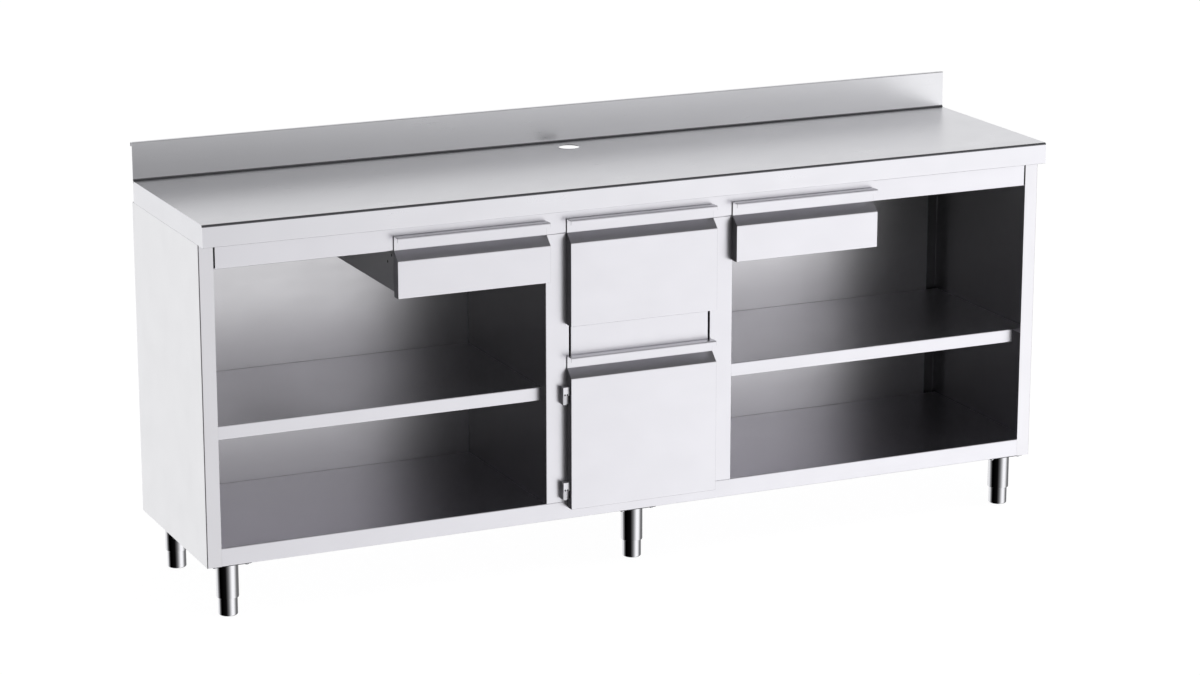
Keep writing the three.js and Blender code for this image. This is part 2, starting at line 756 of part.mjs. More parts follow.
// Lift-off hinges on the left post: a fixed lower leaf with its pin and a moving upper leaf on the door's end.
// Sections are drawn about the pin's axis; their corners stay inside the door's swing.
{
  const axisX = -FRONT_WIDTH / 2 - HINGE_AXIS_TO_DOOR;
  const axisY = bodyFront - HINGE_AXIS_TO_POST;
  const half = HINGE_HEIGHT / 2;
  const swing = HINGE_AXIS_TO_DOOR - HINGE_SWING_GAP;
  const stepFront = 0.5 * swing;
  const stepOuter = 0.85 * swing;
  const fixedOutline = outline([
    [-HINGE_HALF_WIDTH, HINGE_AXIS_TO_POST],
    [-HINGE_HALF_WIDTH, -0.9 * swing],
    [0, -0.98 * swing],
    [0, -stepFront],
    [stepOuter, -stepFront],
    [stepOuter, HINGE_AXIS_TO_POST],
  ]);
  const armEnd = HINGE_AXIS_TO_DOOR - FIT;
  const leafFront = 0.9 * HINGE_AXIS_TO_POST;
  const leafBack = 0.7 * HINGE_AXIS_TO_POST;
  const movingOutline = outline([
    [-0.7 * HINGE_HALF_WIDTH, leafBack],
    [-HINGE_HALF_WIDTH, 0.5 * leafBack],
    [-HINGE_HALF_WIDTH, -leafFront],
    [armEnd, -leafFront],
    [armEnd, leafBack],
  ]);
  const pinRadius = HINGE_PIN_DIAMETER / 2;
  const bore = () => {
    const drill = new THREE.CylinderGeometry(
      pinRadius + FIT,
      pinRadius + FIT,
      2 * HINGE_HEIGHT,
      HINGE_PIN_STEPS,
    );
    return drill.rotateX(Math.PI / 2);
  };
  const doorFaceTop = doorTop - DOOR_PULL_STRIP - PULL_SLANT_RISE;
  const places = [
    ['upper', doorFaceTop - HINGE_BELOW_FACE_TOP - half],
    ['lower', doorBottom + HINGE_ABOVE_DOOR_BOTTOM + half],
  ];
  for (const [name, z] of places) {
    const place = new THREE.Group();
    place.position.set(axisX, axisY, z);
    station.add(place);
    const fixedLeaf = cut(alongZ(fixedOutline, -half, -FIT / 2), bore());
    const movingLeaf = cut(alongZ(movingOutline, FIT / 2, half), bore());
    const pin = new THREE.CylinderGeometry(
      pinRadius,
      pinRadius,
      HINGE_HEIGHT - HINGE_PIN_END,
      HINGE_PIN_STEPS,
    );
    pin.rotateX(Math.PI / 2).translate(0, 0, -HINGE_PIN_END / 2);
    piece(place, `hinge_${name}_fixed_leaf`, fixedLeaf, platedSteel);
    piece(place, `hinge_${name}_moving_leaf`, movingLeaf, platedSteel);
    piece(place, `hinge_${name}_pin`, pin, platedSteel);
  }
}

export default station;
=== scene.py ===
import bmesh
import bpy
import numpy as np
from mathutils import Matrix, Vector

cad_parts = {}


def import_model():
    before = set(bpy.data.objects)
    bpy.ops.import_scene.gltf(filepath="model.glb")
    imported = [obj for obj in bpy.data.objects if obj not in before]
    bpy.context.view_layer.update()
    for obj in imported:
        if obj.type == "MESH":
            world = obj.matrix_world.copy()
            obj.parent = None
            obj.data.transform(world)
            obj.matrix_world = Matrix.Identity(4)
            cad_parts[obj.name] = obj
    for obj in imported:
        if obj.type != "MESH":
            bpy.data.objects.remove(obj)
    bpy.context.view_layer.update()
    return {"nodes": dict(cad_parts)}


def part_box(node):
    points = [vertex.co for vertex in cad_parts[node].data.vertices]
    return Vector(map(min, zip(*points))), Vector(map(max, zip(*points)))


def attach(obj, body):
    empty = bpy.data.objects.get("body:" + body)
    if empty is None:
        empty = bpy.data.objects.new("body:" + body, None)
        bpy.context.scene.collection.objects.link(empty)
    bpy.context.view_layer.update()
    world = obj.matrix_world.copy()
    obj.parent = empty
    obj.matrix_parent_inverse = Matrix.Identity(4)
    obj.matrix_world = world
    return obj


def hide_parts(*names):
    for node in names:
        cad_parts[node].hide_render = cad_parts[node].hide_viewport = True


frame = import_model()
nodes = frame["nodes"]


# Photo corner: a pale sweep floor, a soft sky with a bright band low on the right and a dark flag round
# the camera, one large softbox above, and the camera where the photograph was taken from.


class Wire:
    """A shader socket that adds Math nodes when it is used in a sum, difference or product."""

    def __init__(self, tree, socket=None):
        self.tree = tree
        self.socket = socket

    def node(self, kind, settings=None, inputs=None, out=0):
        """Adds one node: its settings first, then the values or links of its sockets."""
        made = self.tree.nodes.new(kind)
        for key, value in (settings or {}).items():
            if key == "stops":
                ramp = made.color_ramp
                while len(ramp.elements) < len(value):
                    ramp.elements.new(0.5)
                for element, (place, colour) in zip(ramp.elements, value):
                    element.position = place
                    element.color = (*colour, 1.0)
            else:
                setattr(made, key, value)
        for key, value in (inputs or {}).items():
            if isinstance(value, Wire):
                self.tree.links.new(value.socket, made.inputs[key])
            else:
                made.inputs[key].default_value = value
        return Wire(self.tree, made.outputs[out] if made.outputs else None)

    def math(self, operation, first, second):
        return self.node("ShaderNodeMath", {"operation": operation}, {0: first, 1: second})

    def __add__(self, other):
        return self.math("ADD", self, other)

    def __sub__(self, other):
        return self.math("SUBTRACT", self, other)

    def __rsub__(self, other):
        return self.math("SUBTRACT", other, self)

    def __mul__(self, other):
        return self.math("MULTIPLY", self, other)

    __radd__ = __add__
    __rmul__ = __mul__


def empty_graph(owner):
    """Clears the node tree of a material, world or light and returns a Wire to build in it."""
    owner.use_nodes = True
    owner.node_tree.nodes.clear()
    return Wire(owner.node_tree)


def mix_colours(graph, share, first, second):
    """Blends two colours by a share from 0 to 1."""
    settings = {"data_type": "RGBA", "blend_type": "MIX"}
    return graph.node("ShaderNodeMix", settings, {0: share, 6: first, 7: second}, 2)


world = bpy.data.worlds.new("soft_sky")
bpy.context.scene.world = world
graph = empty_graph(world)
direction = graph.node("ShaderNodeTexCoord", out="Generated")
split = graph.node("ShaderNodeSeparateXYZ", inputs={0: direction}).socket.node.outputs
east, north, up = [Wire(graph.tree, split[axis]) for axis in range(3)]
bearing = graph.math("ARCTAN2", north, east) * (0.5 / np.pi) + 0.5
sky_strength = 1.3
low_stops = [
    (-180, 0.0),
    (-124, 0.004),
    (-108, 0.07),
    (-92, 0.21),
    (-80, 0.46),
    (-71, 0.66),
    (-64, 0.88),
    (-56, 1.00),
    (-34, 0.98),
    (-14, 0.45),
    (4, 0.14),
    (56, 0.20),
    (80, 0.70),
    (100, 0.82),
    (124, 0.76),
    (144, 0.20),
    (164, 0.0),
]
high_stops = [
    (-180, 0.45),
    (-152, 0.09),
    (-106, 0.04),
    (-84, 0.16),
    (-71, 0.36),
    (-64, 0.58),
    (-56, 0.76),
    (-10, 0.74),
    (40, 0.75),
    (90, 0.75),
    (116, 0.70),
    (150, 0.70),
]


def sky_band(stops):
    """A band of the sky: slightly cool grey levels over the compass bearing in degrees from +X."""
    warm_share = 0.985
    levels = [(warm_share * level, warm_share * level, level) for place, level in stops]
    places = [place / 360 + 0.5 for place, level in stops]
    return graph.node("ShaderNodeValToRGB", {"stops": list(zip(places, levels))}, {0: bearing})


def climb(start, end):
    """How far the direction has climbed from one height to another, from 0 to 1."""
    settings = {"interpolation_type": "SMOOTHSTEP"}
    return graph.node("ShaderNodeMapRange", settings, {0: up, 1: start, 2: end})


overhead = (0.20, 0.20, 0.203, 1.0)
low_to_high = climb(-0.06, 0.14)
high_to_overhead = climb(0.30, 0.72)
sky = mix_colours(graph, low_to_high, sky_band(low_stops), sky_band(high_stops))
sky = mix_colours(graph, high_to_overhead, sky, overhead)
seen = graph.node("ShaderNodeLightPath", out="Is Camera Ray")
plain_white = [1.0 / sky_strength] * 3 + [1.0]
sky = mix_colours(graph, seen, sky, plain_white)
glow = graph.node("ShaderNodeBackground", inputs={"Color": sky, "Strength": sky_strength})
graph.node("ShaderNodeOutputWorld", inputs={"Surface": glow})

floor_reach, floor_glow, glow_share = 30.0, 1.12, 0.86
floor_mesh = bpy.data.meshes.new("floor")
corner = np.array([[-1, -1, 0], [1, -1, 0], [1, 1, 0], [-1, 1, 0]]) * floor_reach
floor_mesh.from_pydata(corner.tolist(), [], [(0, 1, 2, 3)])
floor = bpy.data.objects.new("floor", floor_mesh)
bpy.context.scene.collection.objects.link(floor)
sweep = bpy.data.materials.new("pale_sweep")
graph = empty_graph(sweep)
matt = graph.node("ShaderNodeBsdfDiffuse", inputs={"Color": (0.86, 0.86, 0.87, 1.0)})
white = graph.node("ShaderNodeEmission", inputs={"Color": (1.0, 1.0, 1.0, 1.0), "Strength": floor_glow})
clear = graph.node("ShaderNodeBsdfTransparent")
by_camera = graph.node("ShaderNodeLightPath", out="Is Camera Ray")
by_metal = graph.node("ShaderNodeLightPath", out="Is Glossy Ray")
pale = graph.node("ShaderNodeMixShader", inputs={0: by_camera * glow_share, 1: matt, 2: white})
pale = graph.node("ShaderNodeMixShader", inputs={0: by_metal, 1: pale, 2: clear})
graph.node("ShaderNodeOutputMaterial", inputs={"Surface": pale})
floor_mesh.materials.append(sweep)


def softbox(name, place, target, width, depth, power):
    """A rectangular area lamp at a place, turned to a target."""
    lamp = bpy.data.lights.new(name, "AREA")
    lamp.shape = "RECTANGLE"
    lamp.size = width
    lamp.size_y = depth
    lamp.energy = power
    box = bpy.data.objects.new(name, lamp)
    box.location = place
    box.visible_glossy = False
    box.rotation_euler = (Vector(target) - Vector(place)).to_track_quat("-Z", "Y").to_euler()
    bpy.context.scene.collection.objects.link(box)


softbox("top_softbox", (0.5, -0.5, 5.0), (0.0, 0.0, 0.0), width=4.0, depth=3.0, power=60.0)

camera_data = bpy.data.cameras.new("photo_camera")
camera_data.sensor_fit = "HORIZONTAL"
camera_data.sensor_width = 36.0
camera_data.lens = 104.97
camera_data.clip_end = 100.0
camera = bpy.data.objects.new("photo_camera", camera_data)
camera.location = (-3.9409, -8.5963, 3.0837)
sight = Vector((0.40279, 0.87867, -0.25632))
camera.rotation_euler = sight.to_track_quat("-Z", "Y").to_euler()
bpy.context.scene.collection.objects.link(camera)
bpy.context.scene.camera = camera
bpy.context.scene.view_settings.view_transform = "Standard"


# Worktop: one 1.5 mm stainless sheet with its lips, upstand and hem folded from it, satin ground along
# its length. The stiffeners under it are plain channels glued and stud welded to its underside.


def toned(graph, tone, colour, span):
    """A colour that runs with a tone from 0 to 1 between its darker and its brighter self."""
    dark = [(1.0 - span) * part for part in colour] + [1.0]
    bright = [min(1.0, (1.0 + span) * part) for part in colour] + [1.0]
    return mix_colours(graph, tone, dark, bright)


def steel_finish(name, colour, roughness, grain_axis, *shades):
    """Satin ground stainless steel. Fine noise stretched along the grinding direction gives the grain,
    a coarser one the long streaks, and broad clouds and smudges vary tone and roughness. Each shade is
    a colour and a mask: the colour shows wherever that function of the x, y and z wires is 1. Most
    shades are painted light and painted shade."""
    finish = bpy.data.materials.new(name)
    graph = empty_graph(finish)
    place = graph.node("ShaderNodeTexCoord", out="Object")

    def stretched(along, across, detail):
        """Noise between 0 and 1 with so many waves to the metre along the grain and across it."""
        scale = [across, across, across]
        scale[grain_axis] = along
        spread = graph.node("ShaderNodeMapping", inputs={"Vector": place, "Scale": scale})
        inputs = {"Vector": spread, "Scale": 1.0, "Detail": detail, "Roughness": 0.6}
        return graph.node("ShaderNodeTexNoise", {"noise_dimensions": "3D"}, inputs)

    grain = stretched(14.0, 900.0, 2.0)
    streak = stretched(1.6, 95.0, 3.0)
    cloud = stretched(2.3, 3.1, 3.0)
    smudge = stretched(9.0, 12.0, 4.0)
    mid, base_span, shade_span = 0.5, 0.12, 0.14
    tone = mid + (grain - mid) * 0.05 + (streak - mid) * 0.07 + (cloud - mid) * 0.08
    base = toned(graph, tone, colour, base_span)
    split = graph.node("ShaderNodeSeparateXYZ", inputs={0: place})
    axes = [Wire(graph.tree, split.socket.node.outputs[axis]) for axis in range(3)]
    for shade, inside in shades:
        base = mix_colours(graph, inside(*axes), base, toned(graph, tone, shade, shade_span))
    rough = roughness + (grain - mid) * 0.06 + (smudge - mid) * 0.10 + (streak - mid) * 0.05
    height = grain * 0.6 + streak * 0.4
    relief = graph.node("ShaderNodeBump", inputs={"Strength": 0.05, "Distance": 0.0004, "Height": height})
    inputs = {"Base Color": base, "Metallic": 1.0, "Roughness": rough, "Normal": relief}
    shell = graph.node("ShaderNodeBsdfPrincipled", inputs=inputs)
    graph.node("ShaderNodeOutputMaterial", inputs={"Surface": shell})
    return finish


def dress(finish, *names):
    """Gives CAD nodes one finish."""
    for name in names:
        nodes[name].data.materials.clear()
        nodes[name].data.materials.append(finish)


def skin(name, grids, finish, body):
    """One object over grids of points that each run (rows, round), closed round the second direction.
    Equal points are merged, which closes the poles, and edges over 30 degrees stay sharp."""
    equal, sharp = 1e-6, np.radians(30.0)
    points, faces, start = [], [], 0
    for grid in grids:
        rows, columns = grid.shape[:2]
        index = start + np.arange(rows * columns).reshape(rows, columns)
        index = np.concatenate([index, index[:, :1]], axis=1)
        quads = [index[:-1, :-1], index[:-1, 1:], index[1:, 1:], index[1:, :-1]]
        faces.append(np.stack(quads, axis=-1).reshape(-1, 4))
        points.append(grid.reshape(-1, 3))
        start += rows * columns
    mesh = bpy.data.meshes.new(name)
    mesh.from_pydata(np.concatenate(points).tolist(), [], np.concatenate(faces).tolist())
    shell = bmesh.new()
    shell.from_mesh(mesh)
    bmesh.ops.remove_doubles(shell, verts=shell.verts, dist=equal)
    bmesh.ops.recalc_face_normals(shell, faces=shell.faces)
    shell.to_mesh(mesh)
    shell.free()
    mesh.polygons.foreach_set("use_smooth", np.ones(len(mesh.polygons), dtype=bool))
    mesh.set_sharp_from_angle(angle=sharp)
    mesh.materials.append(finish)
    made = bpy.data.objects.new(name, mesh)
    bpy.context.scene.collection.objects.link(made)
    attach(made, body)
    return made


def turned(profile, centre, axis="z", round_steps=64):
    """A turned surface: profile points (radius, height) carried round an axis through the centre. Height
    runs along +z, or along the given axis and sign, such as -x."""
    radius, height = np.array(profile).T
    turn = np.linspace(0.0, 2.0 * np.pi, round_steps, endpoint=False)
    across = radius[:, None] * np.cos(turn)
    beside = radius[:, None] * np.sin(turn)
    along = np.broadcast_to(height[:, None], across.shape)
    sign = -1.0 if axis[0] == "-" else 1.0
    order = {"x": (sign * along, across, beside), "y": (across, sign * along, beside)}
    grid = order.get(axis[-1], (across, beside, sign * along))
    return np.stack(grid, axis=-1) + np.array(centre)


mm = 0.001
along_x, along_y, along_z = 0, 1, 2
worktop_z, edge_bend, upstand_y = 1080 * mm, 5.5 * mm, 285 * mm
edge_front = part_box("worktop")[0].y


def in_painted_bend_shade(x, y, z):
    """1 on the bend of the front edge and in the cove at the upstand, where shade is painted as dark
    lines.
    """
    above = x.math("GREATER_THAN", z, worktop_z - edge_bend)
    front_bend = above * x.math("LESS_THAN", y, edge_front + edge_bend)
    low_cove = x.math("LESS_THAN", z, worktop_z + edge_bend)
    cove = low_cove * x.math("GREATER_THAN", y, upstand_y - edge_bend) * above
    return x.math("MAXIMUM", front_bend, cove)


def before(plane):
    """A mask that is 1 in front of a plane across the depth."""
    return lambda x, y, z: y.math("LESS_THAN", y, plane)


worktop_satin = (0.80, 0.80, 0.815)
# The lip's front face gets a brighter, bluer colour: painted light on the front-facing lip.
lip_painted_light = (0.848, 0.842, 0.872)
# The bend lines get a near black colour: painted shade along the front edge and in the cove.
bend_painted_shade = (0.17, 0.17, 0.18)
lip_sheet = 1.5 * mm
worktop_painted_tones = [(lip_painted_light, before(edge_front + lip_sheet)), (bend_painted_shade, in_painted_bend_shade)]
dress(steel_finish("worktop_satin", worktop_satin, 0.30, along_x, *worktop_painted_tones), "worktop")
channel_finish = steel_finish("channel_mill", (0.45, 0.45, 0.46), 0.42, along_x)
dress(channel_finish, "worktop_front_stiffener", "worktop_rear_stiffener")


# Rim of the service hole: a thin spun steel ring that keeps cables off the cut edge of the sheet. It is
# pressed into the hole, with its flange lying on the worktop and a short skirt below.


def arc(middle, radius, start, end, steps=6):
    """Points of a profile on a circle round a middle, from one angle in degrees to another."""
    turn = np.radians(np.linspace(start, end, steps))
    round_points = np.array(middle) + radius * np.stack([np.cos(turn), np.sin(turn)], axis=-1)
    return round_points.tolist()


hole_radius, hole_y = 30 * mm, 211 * mm
ring_skirt = [(-0.7, -1.7), (-0.1, -1.7), (-0.1, 0.0)]
ring_flange = arc((1.6, 0.3), 0.3, -90, 90) + arc((0.3, -0.4), 1.0, 90, 180)
ring_profile = np.array(ring_skirt + ring_flange + ring_skirt[:1])
ring_profile = ring_profile * mm + np.array([hole_radius, 0.0])
rim_finish = steel_finish("rim_polish", (0.76, 0.76, 0.775), 0.18, along_z)
rim_grid = turned(ring_profile, (0.0, hole_y, worktop_z), round_steps=96)
skin("hole_rim", [rim_grid], rim_finish, "carcass")


# Side panels: 1.2 mm sheets ground up and down on the outside, their fronts folded into the end posts.
# The inside faces are painted dark, as painted shade in the bays, and the post fronts brighter, as
# painted light.
satin, satin_rough = (0.87, 0.862, 0.90), 0.32
side_satin = (0.84, 0.84, 0.845)
bay_painted_shade = (0.36, 0.36, 0.37)
sheet = 1.2 * mm
low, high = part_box("side_panel_left")
side_inner = -low.x - 0.5 * sheet
post_back = low.y + 0.5 * sheet


def behind_side_sheet(x, y, z):
    """1 on the faces of a side panel that look into the bay, where shade is painted."""
    inward = x.math("LESS_THAN", x.math("ABSOLUTE", x, 0.0), side_inner)
    return inward * x.math("GREATER_THAN", y, post_back)


# The post fronts take the brighter front colour: painted light on the front faces of the side panels.
side_painted_tones = [(bay_painted_shade, behind_side_sheet), (satin, before(post_back))]
side_finish = steel_finish("side_satin", side_satin, satin_rough, along_z, *side_painted_tones)
dress(side_finish, "side_panel_left", "side_panel_right")


# Back panel, base and shelves: the 1.2 mm sheets that line the bays, in mill finish with ground front
# folds. The base and the shelves are folded at the front and rest on flanges at their ends.


def behind(plane):
    """A mask that is 1 behind a plane across the depth."""
    return lambda x, y, z: y.math("GREATER_THAN", y, plane)


lining = (0.89, 0.882, 0.90)
front_fold = 3 * mm
back_finish = steel_finish("back_mill", lining, 0.34, along_x)
dress(back_finish, "back_panel")
base_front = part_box("base_floor")[0].y
# The base's floor behind its front fold is painted darker than the fold: a mill lining tint and painted
# shade in the bays.
floor_lining_and_shade = (0.71, 0.695, 0.745)
base_lining_and_shade = (floor_lining_and_shade, behind(base_front + front_fold))
base_finish = steel_finish("base_satin", satin, satin_rough, along_x, base_lining_and_shade)
dress(base_finish, "base_floor")
shelf_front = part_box("shelf_left")[0].y
shelf_lining = (0.81, 0.795, 0.84)
shelf_shade = (shelf_lining, behind(shelf_front + front_fold))
shelf_finish = steel_finish("shelf_satin", satin, satin_rough, along_x, shelf_shade)
dress(shelf_finish, "shelf_left", "shelf_right")


# Rear rivets: blind rivets with domed aluminium heads, set through the rear returns of the side panels
# into the flanges of the back panel.


def dome(radius, height, steps=5):
    """Profile of a domed head: a cap of a ball over a flat underside. The ball's radius follows from
    the cap's own radius and height."""
    ball = (radius**2 + height**2) / (2.0 * height)
    lean = np.degrees(np.arcsin(radius / ball))
    return arc((0.0, height - ball), ball, 90, 90 - lean, steps) + [(0.0, 0.0)]


rivet_dome = dome(4.0, 1.5)


def heads(profile, places, axis, round_steps=20):
    """Turned heads of one profile in millimetres at each of several places."""
    return [turned(np.array(profile) * mm, place, axis, round_steps) for place in places]


rivet_finish = steel_finish("rivet_alloy", (0.62, 0.62, 0.64), 0.34, along_z)
low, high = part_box("side_panel_left")
rear_return = 38 * mm
rivet_column = low.x + 0.5 * rear_return
rivet_rows = np.linspace(200 * mm, 970 * mm, 6)
rear_places = [(x, high.y, z) for x in (rivet_column, -rivet_column) for z in rivet_rows]
skin("rear_rivets", heads(rivet_dome, rear_places, "y"), rivet_finish, "carcass")


# Front frame: the top rail, the dividers and the filler panel between them, all of 1.2 mm sheet. Each
# divider is folded into its own front post, and the rail is a channel tacked to the posts.
# The faces of the dividers and filler panel behind the base's front are painted dark: painted shade in
# the bays.
frame_painted_shade = (bay_painted_shade, behind(base_front + 0.5 * sheet))
frame_finish = steel_finish("frame_satin", satin, satin_rough, along_z, frame_painted_shade)
dress(frame_finish, "divider_left", "divider_right", "filler_panel")
rail_finish = steel_finish("rail_satin", satin, satin_rough, along_x)
dress(rail_finish, "top_rail")


# Rail end lugs: flat steel tabs behind the narrow slots at the ends of the top rail, painted near black
# as the shade seen through the slots. They tie the rail to the end posts and close the slots.


def rounded_frame(middle, halves, radius, profile, corner_steps=6):
    """A profile of (inset, height) carried round a rectangle with rounded corners: each inset shrinks
    the rectangle and its corners, and one of half the width shrinks it to a line, which closes it."""
    inset, height = np.array(profile).T
    turn = np.linspace(0.0, 0.5 * np.pi, corner_steps)
    turns = np.concatenate([turn + quarter * 0.5 * np.pi for quarter in range(4)])
    round_off = np.maximum(radius - inset, 0.0)[:, None]
    spans = [np.maximum(half - inset, 0.0)[:, None] - round_off for half in halves]
    side_u = np.repeat([1.0, -1.0, -1.0, 1.0], corner_steps)
    side_v = np.repeat([1.0, 1.0, -1.0, -1.0], corner_steps)
    across = middle[0] + side_u * np.maximum(spans[0], 0.0) + round_off * np.cos(turns)
    beside = middle[1] + side_v * np.maximum(spans[1], 0.0) + round_off * np.sin(turns)
    return np.stack([across, beside, np.broadcast_to(height[:, None], across.shape)], axis=-1)


lug_shade_finish = steel_finish("lug_black", (0.07, 0.07, 0.075), 0.5, along_z)
low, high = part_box("top_rail")
lug_x, lug_z = 1207 * mm, 0.5 * (low.z + high.z)
lug_half, lug_half_height, lug_corner = 11 * mm, 31 * mm, 2 * mm
lug_front = low.y + 3.5 * mm
lug_back = lug_front + sheet
lug_profile = [(lug_half, lug_front), (0.0, lug_front), (0.0, lug_back), (lug_half, lug_back)]
lug_halves = (lug_half, lug_half_height)
lugs = [rounded_frame((x, lug_z), lug_halves, lug_corner, lug_profile) for x in (-lug_x, lug_x)]
lugs = [np.stack([lug[..., 0], lug[..., 2], lug[..., 1]], axis=-1) for lug in lugs]
skin("rail_end_lugs", lugs, lug_shade_finish, "carcass")


# Legs: polished tube with a rolled lower edge, welded to a mounting plate that is bolted under the base.
# Feet: turned and polished, screwed up into the tubes, with a rounded tread.
plate_half, plate_half_depth, plate_corner = 57.0, 45.0, 8.0
plate_low, plate_high, plate_round = 147.0, 150.0, 1.0


def in_plate_painted_shade(x, y, z):
    """1 on the mounting plate, which is painted near black as shade under the cabinet."""
    return z.math("GREATER_THAN", z, (plate_low - 0.1) * mm)


plate_painted_shade = (0.06, 0.06, 0.065)
tube_finish = steel_finish("tube_polish", (0.74, 0.74, 0.755), 0.09, along_z, (plate_painted_shade, in_plate_painted_shade))
tube_radius, tube_wall, tube_low, tube_roof = 30.0, 3.6, 49.0, 140.0
edge_round = 0.5 * tube_wall
rolled_edge = arc((tube_radius - edge_round, tube_low + edge_round), edge_round, 180, 360)
weld_leg, weld_high = 4.0, plate_low + 0.2
weld = arc((tube_radius + weld_leg, weld_high - weld_leg), weld_leg, 180, 90)
tube_inside = [(0.0, tube_roof), (tube_radius - tube_wall, tube_roof)]
tube_profile = tube_inside + rolled_edge + weld + [(0.0, weld_high)]
plate_edge = arc((plate_round, plate_low + plate_round), plate_round, 270, 180, 4)
plate_profile = [(plate_half, plate_low)] + plate_edge + [(0.0, plate_high), (plate_half, plate_high)]
bolt_head = [(0.0, 4.4), (4.9, 4.4), (5.8, 3.6), (5.8, 0.9)]
bolt_washer = [(8.2, 0.9), (8.2, 0.0), (0.0, 0.0)]
foot_radius, foot_high, tread_round = 26.0, 94.0, 3.4
tread = arc((foot_radius - tread_round, tread_round), tread_round, 270, 360)
foot_profile = [(0.0, 0.0)] + tread + [(foot_radius, foot_high), (0.0, foot_high)]
plate_halves = (plate_half * mm, plate_half_depth * mm)
bolt_reach = np.array([44 * mm, 34 * mm])
bolt_corners = [(-1, -1), (1, -1), (1, 1), (-1, 1)]
hexagon = 6
for row in ("front", "rear"):
    for column in ("left", "centre", "right"):
        leg_name, foot_name = f"leg_{row}_{column}", f"foot_{row}_{column}"
        low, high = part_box(leg_name)
        middle = np.array([0.5 * (low.x + high.x), 0.5 * (low.y + high.y), 0.0])
        plate_path = np.array(plate_profile) * mm
        plate = rounded_frame(middle[:2], plate_halves, plate_corner * mm, plate_path)
        bolts = [(*(middle[:2] + bolt_reach * corner), plate_low * mm) for corner in bolt_corners]
        grids = [turned(np.array(tube_profile) * mm, middle, round_steps=96), plate]
        grids += heads(bolt_head + bolt_washer, bolts, "-z", hexagon)
        leg = skin(f"{leg_name}_polished", grids, tube_finish, "carcass")
        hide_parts(leg_name)
        foot_grid = turned(np.array(foot_profile) * mm, middle, round_steps=96)
        foot = skin(f"{foot_name}_polished", [foot_grid], tube_finish, foot_name)
        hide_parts(foot_name)


# Drawer and door fronts: 1.2 mm sheets ground along their width, folded into a slanted finger pull with
# a hemmed lip above it and closed by welded end plates.
# The slants of the pulls and the end plates are painted dark: painted shade in the pull's recess and at
# the fronts' ends.
pull_painted_shade = (0.39, 0.385, 0.405)
pull_setback, slant_rise = 27 * mm, 25 * mm
slant_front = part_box("deep_drawer_front")[0].y + 1 * mm
slant_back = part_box("deep_drawer_front")[0].y + pull_setback - 0.5 * mm
end_plate = 0.3 * mm


def in_slant_or_end(left, right, bottom, top):
    """A mask that is 1 where shade is painted: on the slant of a pull between two heights and on the two
    end plates.
    """

    def mask(x, y, z):
        between = x.math("GREATER_THAN", z, bottom) * x.math("LESS_THAN", z, top)
        behind_face = x.math("GREATER_THAN", y, slant_front)
        slant = between * behind_face * x.math("LESS_THAN", y, slant_back)
        left_end = x.math("LESS_THAN", x, left + end_plate)
        right_end = x.math("GREATER_THAN", x, right - end_plate)
        return x.math("MAXIMUM", slant, x.math("MAXIMUM", left_end, right_end))

    return mask


drawer_strip, door_strip = 38 * mm, 34 * mm
for name in ("left_drawer", "right_drawer", "deep_drawer", "door"):
    node, strip = ("door_skin", door_strip) if name == "door" else (f"{name}_front", drawer_strip)
    low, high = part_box(node)
    slant_top = high.z - strip
    shaded = in_slant_or_end(low.x, high.x, slant_top - slant_rise, slant_top)
    front_finish = steel_finish(f"{name}_satin", satin, satin_rough, along_x, (pull_painted_shade, shaded))
    dress(front_finish, node)


# Drawer boxes: folded from 1 mm sheet with rounded corners, screwed to the fronts. The rim is rolled
# inwards to a safe edge.
box_finish = steel_finish("box_mill", (0.60, 0.60, 0.61), 0.36, along_y)
wall = 1.0
box_corner = 9 * mm
bend, roll, roll_drop = 3.0, 2.5, 6.0
floor_outside = arc((bend, bend), bend, 270, 180)
floor_inside = arc((bend, bend), bend - wall, 180, 270)
roll_outside = arc((roll, -roll), roll, 180, 0, 9)
roll_inside = arc((roll, -roll), roll - wall, 0, 180, 9)
roll_end = [(2.0 * roll, -roll_drop), (2.0 * roll - wall, -roll_drop)]
rolled_rim = roll_outside + roll_end + roll_inside
for drawer in ("left_drawer", "right_drawer", "deep_drawer"):
    low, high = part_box(f"{drawer}_box")
    halves = (0.5 * (high.x - low.x), 0.5 * (high.y - low.y))
    middle = (0.5 * (low.x + high.x), 0.5 * (low.y + high.y))
    deepest = min(halves)
    bottom = [(deepest, low.z)] + [(u * mm, low.z + v * mm) for u, v in floor_outside]
    rim = [(u * mm, high.z + v * mm) for u, v in rolled_rim]
    inside = [(u * mm, low.z + v * mm) for u, v in floor_inside] + [(deepest, low.z + wall * mm)]
    tray = rounded_frame(middle, halves, box_corner, bottom + rim + inside)
    made = skin(f"{drawer}_tray", [tray], box_finish, drawer)
    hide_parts(f"{drawer}_box")


